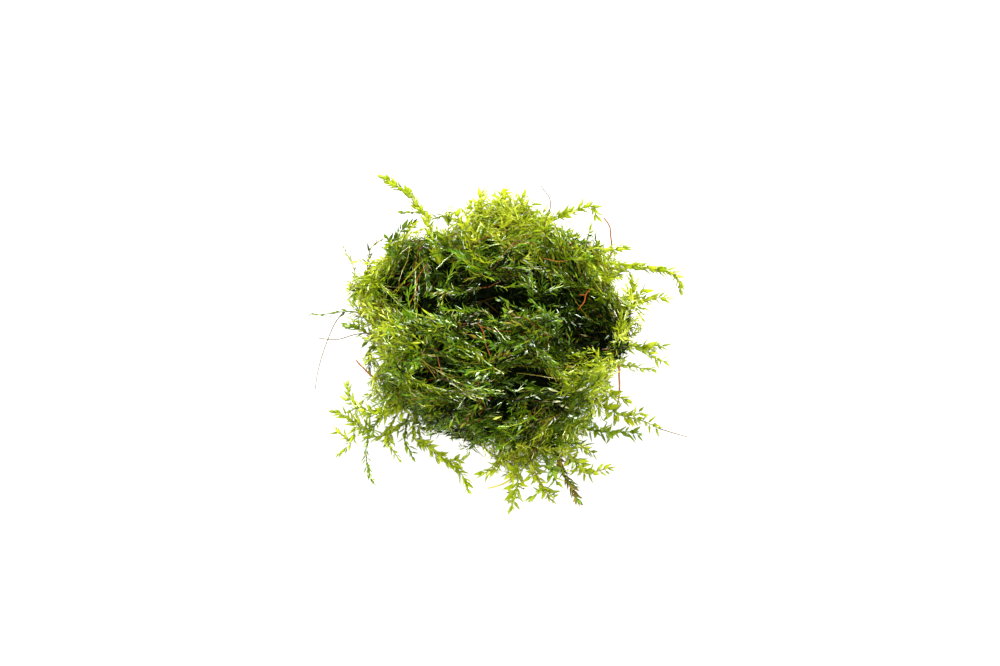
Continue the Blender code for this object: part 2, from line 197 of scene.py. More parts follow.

# Where each colour of the moss lies on the tone scale, from 0 to 1. The darkest, BLACK and DEEP, serve
# mostly as painted shade.
BLACK, DEEP, DARK, GREEN, FRESH, BRIGHT, PALE = 0.03, 0.12, 0.22, 0.32, 0.42, 0.52, 0.60
LIVELY, LEAF_GREEN, OLIVE, DRYING, BARK, BROWN, STRAW = 0.48, 0.72, 0.80, 0.83, 0.86, 0.92, 0.98

# Each strand's style, tone and route, from inside the wad, or inside the strand that it forks
# from, to its tip, in millimetres.
STRANDS = {
    "shoot_back_left_tall": (PLUMP, FRESH, (-12, 10, 28), (-15.5, 16, 37), (-17.5, 22.5, 41),
        (-19.5, 24.5, 42.5), (-21.5, 27, 44.5), (-25, 28.5, 46), (-29, 30, 48)),
    "shoot_back_left_arched": (SPARSE, GREEN, (-9, 12, 30), (-11.5, 18, 37), (-11.5, 22, 38.5),
        (-12.5, 23.5, 40), (-15.5, 24, 38.5), (-19.5, 26, 38.5), (-24.5, 27, 37.5)),
    "shoot_left_arched": (SINGLE, DARK, (-22, 11, 26), (-27, 17, 34), (-25.5, 18, 37.5),
        (-23, 20.5, 38.5), (-20.5, 22.5, 38.5)),
    "shoot_left_upright": (THIN, DARK, (-26, 10, 16), (-33, 17.5, 19), (-33, 20, 26), (-32, 20.5, 31),
        (-29, 22, 32.5)),
    "shoot_left_outer": (THIN, GREEN, (-27, 6, 13), (-35.5, 14, 16), (-36.3, 18, 20), (-37.7, 22, 23),
        (-40.3, 27, 24)),
    "shoot_left_level": (THIN, GREEN, (-26, 8, 11), (-35, 14, 11), (-40, 14, 12), (-45, 14, 11),
        (-50, 14, 11)),
    "shoot_left_low": (LEAFY, GREEN, (-28, 4, 10), (-33.5, 8, 10), (-36.5, 10, 10), (-39.5, 11, 10)),
    "shoot_top_1": (TUFTED, LIVELY, (-4, 16, 32), (-8, 20.5, 39), (-7, 23, 40.5), (-5.5, 26.5, 42.5)),
    "shoot_top_2": (TUFTED, BRIGHT, (0, 20, 34), (-3, 24, 42), (-3, 26.5, 43), (-2.5, 29, 43.5)),
    "shoot_top_3": (TUFTED, BRIGHT, (4, 20, 34), (2, 25, 42), (2.5, 27, 43.5), (4, 29, 44)),
    "shoot_top_4": (TUFTED, LIVELY, (8, 20, 32), (8.5, 25, 41), (8, 27.5, 42), (9, 29, 42)),
    "shoot_back_right_arched": (LEAFY, FRESH, (12, 13, 29), (13.5, 21, 36), (15.5, 24.5, 37.5),
        (20, 25.5, 38.5), (24, 27, 39.5), (26.5, 27.5, 39), (28, 26.5, 36)),
    "root_hair_top": (HAIR, BARK, (15, 24.5, 37.5), (15.5, 29, 40), (13, 32.5, 42)),
    "shoot_back_right_twig": (SPARSE, FRESH, (20, 12, 27), (24.5, 20, 30), (25.5, 23, 32),
        (26.5, 25, 34)),
    "bare_stem_right": (BARE, BROWN, (24, 10, 19), (31.5, 23, 23), (31.8, 26.5, 29.5), (31.3, 28, 31.5),
        (30, 29, 33)),
    "shoot_right_bushy_1": (LEAFY, FRESH, (22, 12, 24), (27, 19, 27), (30.5, 20.5, 29),
        (33.5, 20.5, 30), (36, 21.5, 30)),
    "shoot_right_bushy_2": (LEAFY, FRESH, (22, 10, 26), (29, 16, 29), (32.5, 16, 29), (35.5, 15.5, 29)),
    "shoot_right_long": (SINGLE, FRESH, (22, 10, 18), (29, 18, 18), (35, 21, 21), (40, 21, 22.5),
        (44, 20, 22.5), (47.5, 19.5, 22), (50, 18.5, 20), (51, 17, 16.5)),
    "shoot_right_middle": (LEAFY, FRESH, (28, 4, 18), (37, 11, 18), (40.5, 12, 19), (44, 12, 20),
        (47, 12, 20)),
    "shoot_right_tip": (LEAFY, FRESH, (28, 4, 22), (36, 9, 23), (37.5, 11.5, 24), (37, 15, 26)),
    "shoot_right_low": (LEAFY, FRESH, (28, -2, 13), (37.5, 2, 12), (41.5, 1.5, 10), (44, 1, 8),
        (47, 0.5, 7)),
    "shoot_right_low_fork": (LEAFY, FRESH, (40, 2, 10.5), (43, 3, 11), (46, 2.2, 11)),
    "shoot_right_thin": (SPARSE, FRESH, (27, -3, 8), (36, 0, 6), (40, 0, 5), (44, 0, 4)),
    "bare_stem_right_low": (BARE, BROWN, (27, -1, 11), (33.3, -1, 9.5), (34, -4, 6.5), (34, -8, 3.5),
        (33, -12, 1)),
    "shoot_front_right_high": (LEAFY, FRESH, (20, -10, 12), (29.5, -12.5, 11), (33, -14, 10.5),
        (36, -15, 9.5)),
    "shoot_front_right": (STARRY, FRESH, (20, -12, 8), (29.5, -13.5, 6), (34.5, -16, 5),
        (40.5, -17.5, 4), (44.3, -19, 3)),
    "root_hair_front_right": (HAIR, BARK, (44.3, -19, 3), (48.5, -20, 2.2), (52, -20.7, 1.5)),
    "shoot_front_right_dark": (STARRY, GREEN, (18, -18, 6), (26.5, -21, 5), (32, -21, 4),
        (36, -20.5, 3.5), (39.5, -20.8, 3)),
    "shoot_front_right_short": (LEAFY, GREEN, (16, -18, 5), (22.5, -24.5, 4), (25, -26, 3.2),
        (27, -27, 2.7)),
    "shoot_front_right_hooked": (STARRY, FRESH, (14, -18, 5), (18.5, -26, 4), (21.5, -29, 3),
        (24, -32, 2.5), (26.5, -33, 2.5), (31.5, -31, 2)),
    "shoot_front_brown": (SINGLE, DRYING, (11, -20, 5), (16.5, -28, 4), (18.5, -33, 3),
        (20.5, -37.5, 2.5), (23, -43, 2)),
    "shoot_front_raised": (STARRY, GREEN, (13, -21, 8), (14, -31, 7), (16, -36, 6.5), (17, -40, 6)),
    "shoot_front_2": (STARRY, FRESH, (8, -20, 5), (10, -28, 4), (11.5, -34, 3), (14, -39, 2.5),
        (15.5, -42, 2)),
    "shoot_front_2_fork": (SPARSE, FRESH, (14, -39, 3), (12, -41.5, 5), (9.5, -43, 3)),
    "shoot_front_1": (STARRY, FRESH, (5, -20, 5), (6, -28, 4), (7, -34, 3), (6, -40.5, 2.5),
        (5.2, -45, 2)),
    "bare_stem_front": (BARE, OLIVE, (6.8, -34, 3), (3, -36.5, 2), (-1, -38, 2)),
    "shoot_front_crossing": (LEAFY, FRESH, (1, -20, 5), (2.5, -29, 4), (0.5, -33, 4), (-3, -34.5, 3.5)),
    "shoot_front_long": (LEAFY, FRESH, (-20, -15, 8), (-20.5, -23.5, 5.5), (-16.5, -26, 4),
        (-12.5, -29.5, 3.5), (-9, -32.5, 3), (-7, -35.5, 2.5), (-6, -39, 2)),
    "shoot_front_left_short": (SPARSE, GREEN, (-22, -14, 4), (-23, -22.5, 3), (-21.5, -26, 2.5),
        (-20.7, -28.7, 2)),
    "shoot_front_left_leaf": (SPARSE, FRESH, (-24, -14, 6), (-28, -22.5, 4), (-26, -26.3, 3),
        (-24, -29, 2)),
    "shoot_front_left_down": (SPARSE, GREEN, (-22, -10, 10), (-27, -14.5, 9), (-30, -19, 7),
        (-32.5, -23.5, 5), (-33, -27.3, 3.3), (-32.3, -32.5, 2.3), (-30.5, -36.7, 2)),
    "shoot_left_front_outer": (SPARSE, FRESH, (-24, -6, 9), (-34.5, -13, 7), (-35.7, -20, 5),
        (-37.8, -25, 3), (-41.2, -27.6, 2)),
    "shoot_left_front_fork": (SPARSE, FRESH, (-37.4, -24, 3.4), (-39, -21, 2.2), (-41.5, -18.3, 2)),
    "shoot_left_front_low": (LEAFY, FRESH, (-22, -16, 2.5), (-30, -21.3, 2.5), (-34.7, -18.2, 2.5),
        (-38.5, -15, 3), (-42, -14, 4)),
    "shoot_left_front_dark": (LEAFY, FRESH, (-20, -14, 13), (-27.5, -21, 12), (-32.3, -19.7, 11),
        (-35, -17.8, 10.5), (-37.5, -15, 10.5), (-38.3, -10, 10.5)),
    "bare_stem_left": (BARE, BROWN, (-22, -10, 12), (-30, -9.5, 12), (-34.5, -5.5, 12.5),
        (-36, -4, 13.3)),
    "shoot_left_bud": (SPARSE, GREEN, (-26, 3, 12), (-32.3, 0, 13), (-32.8, -2, 10), (-32.8, -3, 7)),
    "root_hair_left": (HAIR, BARK, (-40, 14, 12), (-42.5, 11, 10.3), (-45.2, 4.5, 7.3),
        (-46.8, -0.8, 4.3), (-47.5, -4.5, 1.5)),
    "root_hair_left_short": (HAIR, BARK, (-28, 5, 14), (-36, 7, 11), (-41.5, 5.5, 10.5),
        (-46.5, 5.5, 11)),
    "shoot_back_1": (LEAFY, GREEN, (-20, 16, 10), (-29, 24, 6), (-34, 30, 3)),
    "shoot_back_2": (LEAFY, FRESH, (-8, 20, 9), (-14, 33, 5), (-22, 43, 2.5)),
    "shoot_back_3": (LEAFY, FRESH, (5, 22, 9), (7, 36, 5), (11, 45, 2.5)),
    "shoot_back_4": (LEAFY, GREEN, (16, 16, 10), (25, 30, 6), (29, 37, 3)),
}

# Bare reddish stems that lie over the wad, each a radius and a route over the floor plan, in
# millimetres.
OVER_STEMS = (
    (0.14, (-3.4, -13), (-3.4, -14.5), (-2.1, -16.5), (-1.6, -19), (-0.3, -22)),
    (0.12, (9.9, -12), (9.7, -13), (8.8, -15)),
    (0.11, (22, -13), (21.8, -16)),
    (0.1, (-17, 9), (-19.3, 6), (-19.8, 3), (-21.5, 0)),
    (0.09, (-16, -19.5), (-14, -20.5), (-13.5, -22.5), (-12.5, -25)),
    (0.1, (-5, -25), (-3.5, -26.5), (-3, -29)),
    (0.1, (-9, 14), (-5, 15.2), (0, 14.6), (4, 16)),
    (0.1, (13, 9), (17, 8.3), (20, 9)),
)
# A forked stem that hangs over the hollow, as two routes in millimetres.
HOLLOW_STEM = (
    ((25.8, 3.2, 34), (24.6, 2.4, 32.4), (24.2, 1.2, 31), (22.6, 0, 29.2)),
    ((24.6, 2.4, 32.4), (23.6, 2.8, 31.9), (22.9, 2.9, 31.8)),
)
HOLLOW_STEM_RADIUS = 0.18 * MM
OVER_STEM_STEP = 0.8 * MM
OVER_STEM_SIDES = 5
OVER_STEM_TAPER = 0.6
# Single wide pale leaves on the wad: each a place over the floor plan, a heading in degrees, a
# length and a width in millimetres, and a tone.
SINGLE_LEAVES = (
    ((14, -23.5), -35, 3.6, 1.1, STRAW),
    ((15.5, -24.5), -60, 3.0, 1.0, STRAW),
    ((17.5, -25), -20, 3.4, 1.1, STRAW),
    ((21.5, -23.5), 25, 3.4, 1.1, STRAW),
    ((23.5, -23), 50, 3.0, 1.0, STRAW),
    ((0, -29), 60, 2.8, 1.0, PALE),
    ((-15, -10), 140, 3.8, 0.9, FRESH),
    ((-14, -11.5), 128, 3.4, 0.9, FRESH),
    ((-27, -8), 110, 4.0, 1.2, LEAF_GREEN),
    ((-26, -9), 80, 3.6, 1.2, LEAF_GREEN),
    ((-24.5, -9.5), 45, 3.6, 1.1, LEAF_GREEN),
    ((3, -1), 185, 4.2, 1.0, LEAF_GREEN),
)
SINGLE_LEAF_OFF = 0.6  # millimetres, straight off the skin
SINGLE_LEAF_RISE = 0.25
SINGLE_LEAF_BEND = 0.1
NEARLY_UP = (0.1, 0.2, 1.0)  # no single leaf points this way
BUD_PLACE = (-2.8, -28.5)  # over the floor plan, in millimetres
BUD_RADIUS = 0.55 * MM
BUD_TALLER = 1.15
BUD_SUBDIVISIONS = 3
BUD_LEVELS = (0.4, 0.55)  # half of its span on the leaf map, and its middle there, so that its underside takes the leaf's painted root shade
ABOVE_ALL = 80  # millimetres
# Over the wad's skin, in millimetres.
OVER_STEM_LIFT, SINGLE_LEAF_LIFT, BUD_LIFT = 1.6, 1.2, 2.2

CURVE_STEPS = 30  # between two points of a route


def smooth_route(points, spacing):
    """Points this far apart on a smooth curve through the route's own points, as an array."""
    points = np.array(points, float)
    padded = np.vstack([points[0] * 2 - points[1], points, points[-1] * 2 - points[-2]])
    t = np.linspace(0, 1, CURVE_STEPS, endpoint=False)[:, None]
    fine = [
        start + (end - before) * t / 2 + (before * 2 - start * 5 + end * 4 - after) * t**2 / 2
        + (start * 3 - before - end * 3 + after) * t**3 / 2
        for before, start, end, after in zip(padded, padded[1:], padded[2:], padded[3:])
    ]
    return evenly(np.vstack([*fine, points[-1:]]), spacing)


def gone_along(line):
    """How far along the line each of its points is."""
    return np.concatenate([[0], np.cumsum(np.linalg.norm(np.diff(line, axis=0), axis=1))])


def values_at(places, gone, values):
    """The values at these places on a line whose own points are this far along it."""
    return np.stack([np.interp(places, gone, values[:, k]) for k in range(3)], 1)


def evenly(line, spacing):
    """The line's points set about this far apart."""
    gone = gone_along(line)
    count = max(3, round(gone[-1] / spacing) + 1)
    return values_at(np.linspace(0, gone[-1], count), gone, line)


# ---------------- leaves and stems as meshes

TONE_HALF_WIDTH = 0.006  # of a leaf on the tone scale: a face needs some width to be baked
MAP_MARGIN = 0.02  # of the leaf map, at a leaf's root and tip
LEAF_STATIONS = ((0.3, 1.0), (0.66, 0.64))  # along the leaf, and its width there
DEEP_LEAF_STATIONS = ((0.42, 1.0),)
KEEL = 0.32  # the keel's depth, of the leaf's width
STEM_TAPER = 0.45  # a stem's width at its tip, of its width at its root
FLOOR = 0.05 * MM  # nothing lies lower
STEEP, TINY = 0.9, 1e-12  # lengths of a direction


class Growth:
    """Leaves and stems gathered for one piece."""

    def __init__(self):
        self.points, self.faces, self.places = [], [], []
        self.count = 0

    def add(self, points, faces, places):
        """Points, faces as point indices, and the place of each point on the leaf map."""
        self.points.append(points)
        self.faces.append(faces + self.count)
        self.places.append(places)
        self.count += len(points)


def unit(vectors):
    """The vectors, each 1 long."""
    return vectors / np.maximum(np.linalg.norm(vectors, axis=-1, keepdims=True), TINY)


def add_leaves(growth, leaves, stations):
    """Closed keeled blades. Each leaf has a root, a direction, an outward side, a length, a width, a
    bend and a tone, and each of these is an array."""
    root, ahead, out, length, width, bend, tone = leaves
    side = np.cross(ahead, out)
    rows = len(root)

    def middle(t):
        return root + ahead * (length * t)[:, None] + out * (length * bend * t * t)[:, None]

    points = [middle(0.0)]
    places = [(tone, np.full(rows, MAP_MARGIN))]
    for t, wide in stations:
        half = (width * wide / 2)[:, None]
        points += [middle(t) - side * half, middle(t) + side * half, middle(t) + out * half * KEEL * 2]
        level = np.full(rows, t)
        places += [(tone - TONE_HALF_WIDTH, level), (tone + TONE_HALF_WIDTH, level), (tone, level)]
    points.append(middle(1.0))
    places.append((tone, np.full(rows, 1 - MAP_MARGIN)))
    per_leaf = len(points)
    faces = blade_faces(len(stations))
    starts = np.arange(rows)[:, None, None] * per_leaf
    growth.add(
        np.stack(points, 1).reshape(-1, 3),
        (faces[None] + starts).reshape(-1, 3),
        np.stack([np.stack(place, 1) for place in places], 1).reshape(-1, 2),
    )


def blade_faces(stations):
    """The triangles of one blade: its root, rings of three points, and its tip."""
    faces = []
    for k in range(3):
        after = (k + 1) % 3
        faces.append((0, 1 + after, 1 + k))
        for ring in range(stations - 1):
            low, high = 1 + 3 * ring, 4 + 3 * ring
            faces += [(low + k, low + after, high + after), (low + k, high + after, high + k)]
        last = 3 * stations - 2
        faces.append((last + k, last + after, 3 * stations + 1))
    return np.array(faces)


def across(route):
    """The route's direction at each point, and two directions across it that don't twist."""
    ahead = unit(np.gradient(route, axis=0))
    first = np.cross(ahead[0], (0, 0, 1) if abs(ahead[0][2]) < STEEP else (1, 0, 0))
    sides = [first / np.linalg.norm(first)]
    for way in ahead[1:]:
        side = sides[-1] - way * (sides[-1] @ way)
        sides.append(side / max(np.linalg.norm(side), TINY))
    sides = np.array(sides)
    return ahead, sides, np.cross(ahead, sides)


def add_tube(growth, route, radius, sides, tone, taper=STEM_TAPER):
    """A closed tapered stem along the route, painted darker at its root as shade through the leaf map.
    """
    _, side, over = across(route)
    share = np.linspace(0, 1, len(route))
    wide = radius * (1 - (1 - taper) * share)
    angles = np.arange(sides) * math.tau / sides
    ring = side[:, None] * np.cos(angles)[:, None] + over[:, None] * np.sin(angles)[:, None]
    points = (route[:, None] + ring * wide[:, None, None]).reshape(-1, 3)
    points = np.vstack([points, route[:1], route[-1:]])
    faces = []
    last = (len(route) - 1) * sides
    for k in range(sides):
        after = (k + 1) % sides
        for low in range(0, last, sides):
            high = low + sides
            faces += [(low + k, low + after, high + after), (low + k, high + after, high + k)]
        faces.append((after, k, len(points) - 2))
        faces.append((last + k, last + after, len(points) - 1))
    level = np.concatenate([np.repeat(share, sides), [0, 1]]) * (1 - 2 * MAP_MARGIN) + MAP_MARGIN
    spoke = np.concatenate([np.tile(np.cos(angles), len(route)), [0, 0]])
    growth.add(points, np.array(faces), np.stack([tone + TONE_HALF_WIDTH * spoke, level], 1))


TURN = math.radians(137)  # from one leaf to the next, round the stem
FEWEST_LEAVES = 4  # on a shoot
LAST_LEAF = 0.995  # the furthest place of a leaf along the stem
TIP_SHARE = 0.16  # of the shoot, where its leaves close to a bud
TIP_UPRIGHT = 0.65  # the share of its lean that the last leaf loses
TIP_SHORTER = 0.35
TWIST = 0.5  # radians, at most, that a leaf is turned about its own length
ALONG_JITTER = 0.3  # of the leaves' spacing
ROUND_JITTER = 0.45  # radians
LEAN_RANGE = (-16, 22)  # degrees, added to the style's own
LENGTH_RANGE = (0.55, 1.2)  # of the style's own, as the next two are
WIDTH_RANGE = (0.8, 1.15)
BEND_RANGE = (-0.8, 2.2)
LEAF_TONE_SPREAD = 0.04
DRY_SHARE = 0.012  # of all leaves


def leaves_along(route, style, tone, rng):
    """The leaves of one shoot, as add_leaves takes them."""
    gone = gone_along(route)
    count = max(FEWEST_LEAVES, int(gone[-1] / style.spacing))
    at = (np.arange(count) + rng.uniform(-ALONG_JITTER, ALONG_JITTER, count)) / count * gone[-1]
    at = np.clip(at, 0, gone[-1] * LAST_LEAF)
    place = values_at(at, gone, route)
    ahead, side, over = (unit(values_at(at, gone, ways)) for ways in across(route))
    angle = (np.arange(count) * TURN + rng.uniform(-ROUND_JITTER, ROUND_JITTER, count))[:, None]
    out = side * np.cos(angle) + over * np.sin(angle)
    closed = np.clip((at / gone[-1] - 1 + TIP_SHARE) / TIP_SHARE, 0, 1)
    lean = style.lean * (1 - TIP_UPRIGHT * closed) + rng.uniform(*LEAN_RANGE, count)
    lean = np.radians(lean)[:, None]
    way = ahead * np.cos(lean) + out * np.sin(lean)
    off = out * np.cos(lean) - ahead * np.sin(lean)
    twist = rng.uniform(-TWIST, TWIST, count)[:, None]
    off = off * np.cos(twist) + np.cross(way, off) * np.sin(twist)
    length = style.length * (1 - TIP_SHORTER * closed) * rng.uniform(*LENGTH_RANGE, count)
    width = style.width * (length / style.length) ** 0.5 * rng.uniform(*WIDTH_RANGE, count)
    bend = style.bend * rng.uniform(*BEND_RANGE, count)
    tones = tone + rng.normal(0, LEAF_TONE_SPREAD, count)
    tones[rng.random(count) < DRY_SHARE] = STRAW
    return place + out * style.stem * 0.5, way, off, length, width, bend, tones


DEAD_OR_PAINTED_SHADE_BELOW = 0.105  # on the tone scale: darker leaves, dead ones and those in painted shade, are dull


def as_piece(name, growth, looks, slot_name):
    """The gathered growth as one object that rides on the body. Its faces that are dead or in painted
    shade take its last look.
    """
    points = np.vstack(growth.points)
    points[:, 2] = np.maximum(points[:, 2], FLOOR)
    faces = np.vstack(growth.faces)
    places = np.vstack(growth.places)
    mesh = bpy.data.meshes.new(name)
    mesh.from_pydata(points, [], faces)
    leaf_map = mesh.uv_layers.new(name="OFBake")
    leaf_map.uv.foreach_set("vector", places[faces.ravel()].astype(np.float32).ravel())
    for look in looks:
        mesh.materials.append(look)
    dead_or_painted_shade = places[faces][:, :, 0].mean(1) < DEAD_OR_PAINTED_SHADE_BELOW
    mesh.polygons.foreach_set("material_index", dead_or_painted_shade * (len(looks) - 1))
    obj = placed(name, mesh)
    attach(obj, BODY)
    return obj


# ---------------- materials

# The moss's colours by tone: near black and dark for dead leaves and painted shade, through green and
# the yellow green of backlit leaves and painted light, to dry.
TONES = (
    (0.00, (0.001, 0.002, 0.001)),
    (0.06, (0.006, 0.012, 0.001)),
    (DEEP, (0.034, 0.068, 0.002)),
    (DARK, (0.110, 0.208, 0.004)),
    (GREEN, (0.270, 0.390, 0.007)),
    (FRESH, (0.470, 0.555, 0.012)),
    (BRIGHT, (0.660, 0.715, 0.034)),
    (PALE, (0.790, 0.835, 0.120)),
    (0.66, (0.090, 0.220, 0.008)),
    (0.76, (0.240, 0.440, 0.015)),
    (OLIVE, (0.400, 0.320, 0.030)),
    (BARK, (0.110, 0.060, 0.014)),
    (BROWN, (0.270, 0.066, 0.005)),
    (STRAW, (0.560, 0.560, 0.260)),
)
# By what a leaf's colour is multiplied, from its root, darker as painted shade, to its tip.
ROOT_SHADE_ALONG_LEAF = ((0.0, (0.45, 0.45, 0.5)), (0.35, (0.9, 0.92, 0.9)), (1.0, (1.0, 0.98, 1.0)))
SHEEN = (0.9, 1.0, 0.8)  # the colour of light glancing off a wet leaf
REFLECTED = (0.5, 0.5, 0.5)  # the share of its colour that a leaf shows in light from the front
# Each look's roughness, its gloss, and the share of the light that shows through.
LOOKS = {
    "moss_leaf": (0.16, 0.75, 0.5),
    "dead_and_painted_shade_leaf": (0.95, 0.04, 0.3),
    "bare_stem": (0.6, 0.1, 0.0),
    "root_hair": (0.6, 0.2, 0.2),
}
# The inside's near-black colours, painted shade between the shoots, with lighter patches.
PAINTED_SHADE_INSIDE_COLOURS = ((0.3, (0.0004, 0.0007, 0.0003)), (0.7, (0.002, 0.003, 0.001)))
INSIDE_GRAIN = 900  # patches a metre
INSIDE_DETAIL = 3


def ramp(nodes, stops):
    """A colour ramp with these stops, each a place and a colour."""
    made = nodes.new("ShaderNodeValToRGB")
    elements = made.color_ramp.elements
    while len(elements) > 1:
        elements.remove(elements[-1])
    elements[0].position, elements[0].color = stops[0][0], (*stops[0][1], 1)
    for place, colour in stops[1:]:
        elements.new(place).color = (*colour, 1)
    return made


def new_look(name, inputs):
    """A new material with these inputs of its shader, and its nodes, its links and the shader."""
    made = bpy.data.materials.new(name)
    made.use_nodes = True
    tree = made.node_tree
    shader = tree.nodes["Principled BSDF"]
    for socket, value in inputs.items():
        shader.inputs[socket].default_value = value
    return made, tree.nodes, tree.links, shader


def multiply(nodes, links, colour):
    """A node that multiplies this colour by another, its input B."""
    made = nodes.new("ShaderNodeMix")
    made.data_type = "RGBA"
    made.blend_type = "MULTIPLY"
    made.inputs["Factor"].default_value = 1
    links.new(colour, made.inputs["A"])
    return made


def leaf_look(name, roughness, gloss, through):
    """A thin wet leaf, coloured by its tone, with painted shade at its root, lighter towards its tip,
    with light showing through.
    """
    inputs = {"Roughness": roughness, "Specular IOR Level": gloss, "Specular Tint": (*SHEEN, 1)}
    made, nodes, links, shader = new_look(name, inputs)
    places = nodes.new("ShaderNodeUVMap")
    places.uv_map = "OFBake"
    apart = nodes.new("ShaderNodeSeparateXYZ")
    links.new(places.outputs["UV"], apart.inputs[0])
    tone = ramp(nodes, TONES)
    links.new(apart.outputs["X"], tone.inputs["Fac"])
    along = ramp(nodes, ROOT_SHADE_ALONG_LEAF)
    links.new(apart.outputs["Y"], along.inputs["Fac"])
    both = multiply(nodes, links, tone.outputs["Color"])
    links.new(along.outputs["Color"], both.inputs["B"])
    front = multiply(nodes, links, both.outputs["Result"])
    front.inputs["B"].default_value = (*REFLECTED, 1)
    links.new(front.outputs["Result"], shader.inputs["Base Color"])
    glow = nodes.new("ShaderNodeBsdfTranslucent")
    links.new(both.outputs["Result"], glow.inputs["Color"])
    mixed = nodes.new("ShaderNodeMixShader")
    mixed.inputs["Fac"].default_value = through
    links.new(shader.outputs[0], mixed.inputs[1])
    links.new(glow.outputs[0], mixed.inputs[2])
    links.new(mixed.outputs[0], nodes["Material Output"].inputs["Surface"])
    return made


def painted_shade_mat_look():
    """The dense dead inside of the tangle, painted nearly black as shade, with lighter patches."""
    inputs = {"Roughness": 1.0, "Specular IOR Level": 0.0}
    made, nodes, links, shader = new_look("moss_inside_painted_shade", inputs)
    grain = nodes.new("ShaderNodeTexNoise")
    grain.inputs["Scale"].default_value = INSIDE_GRAIN
    grain.inputs["Detail"].default_value = INSIDE_DETAIL
    where = nodes.new("ShaderNodeTexCoord")
    links.new(where.outputs["Object"], grain.inputs["Vector"])
    colour = ramp(nodes, PAINTED_SHADE_INSIDE_COLOURS)
    links.new(grain.outputs["Fac"], colour.inputs["Fac"])
    links.new(colour.outputs["Color"], shader.inputs["Base Color"])
    return made


# ---------------- the wad's shoots

# A layer is so many bundles of shoots of one style. Their lengths are between two, and their depths
# are how far under the skin they run, from root to tip, in millimetres: a minus is above it. The
# last two say how their leaves are cut and how many sides their stems have.
Layer = namedtuple("Layer", "name bundles length depths style stations sides")
DEEP_STYLE = styled(0.85, 2.8, 0.9, 40, 0.1, 0.22)
SKIN_STYLE = styled(0.46, 2.6, 0.46, 26, 0.16, 0.17)
END_STYLE = styled(0.48, 2.8, 0.6, 29, 0.15, 0.19)
WISP_STYLE = styled(0.7, 2.5, 0.8, 34, 0.12, 0.22)
THREAD_STYLE = styled(2.8, 1.7, 0.45, 40, 0.2, 0.12)
LAYERS = (
    Layer("deep", 240, (11 * MM, 18 * MM), (5.2, 4.2, 4.0, 3.6), DEEP_STYLE, DEEP_LEAF_STATIONS, 3),
    Layer("skin", 470, (10 * MM, 19 * MM), (3.4, 1.8, 0.8, -0.6), SKIN_STYLE, LEAF_STATIONS, 3),
    Layer("end", 170, (7 * MM, 12 * MM), (3.0, 0.8, -1.6, -3.6), END_STYLE, LEAF_STATIONS, 3),
    Layer("wisp", 26, (11 * MM, 15 * MM), (2.6, -0.4, -3.0, -5.2), WISP_STYLE, LEAF_STATIONS, 4),
    Layer("thread", 330, (9 * MM, 20 * MM), (2.5, 0.0, -0.9, 0.6), THREAD_STYLE, DEEP_LEAF_STATIONS, 3),
)
BUNDLE_SHOOTS = (3, 5)  # at fewest and at most, but a thread comes alone
BUNDLE_WIDTH = 2.6 * MM
STEP = 1.5 * MM  # along a shoot, from one worked-out point to the next
LOWEST = 0.5 * MM  # for a shoot and for the inside
ROUTE_SMOOTHING = 2
WAVER_SPACING = 13 * MM
SWIRL, LEVEL, WAVER = 0.5, 0.45, 1.5  # how much each counts in the way the tangle is combed
KEEPS_ON, FOLLOWS, STRAYS = 0.65, 0.25, 0.2  # and in a shoot's heading
OWN_WAVER = 0.4
RELIEF = ((9 * MM, 0.65), (4 * MM, 0.45))  # how far apart the tangle's hills are, and their shares
RELIEF_HEIGHT = 2.6 * MM
LOWS = -0.3  # of the relief: lower than this the tangle has a gap
DENT_SHALLOWER = 0.75
SHADE_SHIFT = Vector((1.5, 0.9, 0)) * MM
CREST_ENDS = ((-7, -12), (12, -12.5))
CREST_HALF_WIDTH = 2.6 * MM
CREST_HEIGHT = 3.2 * MM
RIM_FROM = 31 * MM  # along X, where the rim round the hollow's right end starts
RIM_WIDTH = 4 * MM

# The dense inside of the tangle, near black as painted shade.
MAT_DEPTH = 6.0 * MM
MAT_LEAST_DEPTH = 0.5 * MM
MAT_SHARE = 0.48  # of the wad's thickness, at most
MAT_GRAIN_SPACING = 2.2 * MM
MAT_GRAIN_HEIGHT = 1.2  # millimetres
MAT_REDUCED_TO = 0.4  # of its triangles
RAY_START = 0.1  # millimetres past the skin
RIM_LOWER = 5 * MM  # by which the inside stays under the rim
RIM_INWARD = 3 * MM

# Which piece of the wad a shoot belongs to.
WAD_PARTS = ("back", "left", "front", "right", "top", "under")
UNDER_BELOW = 2.5 * MM
TOP_ABOVE = 32 * MM

# Where painted light makes the moss pale: each a direction, how far out that begins and over how far it
# grows, in millimetres, and how far it goes.
PAINTED_LIGHT_SIDES = (
    ((-1, 0, 0), 19, 17, 1),  # left
    ((1, 0, 0), 18, 14, 1),  # right
    ((0, 0.766, 0.643), 34.5, 8, 1),  # top and back
    ((0, 1, 0), 20, 14, 0.8),  # back
    ((0, 0, -1), -15, 10, 1.15),  # foot
)
NEAR_FLOOR = 7 * MM
PAINTED_LIGHT_ABOVE_FOOT = 0.92  # of the painted light that these give, above the foot
FOOT_PAINTED_LIGHT = 0.16  # on the tone scale, painted light for the deep shoots at the floor
# How much the shade of the crease and the hollow takes from the painted light.
SHADE_DULLS = 1.6
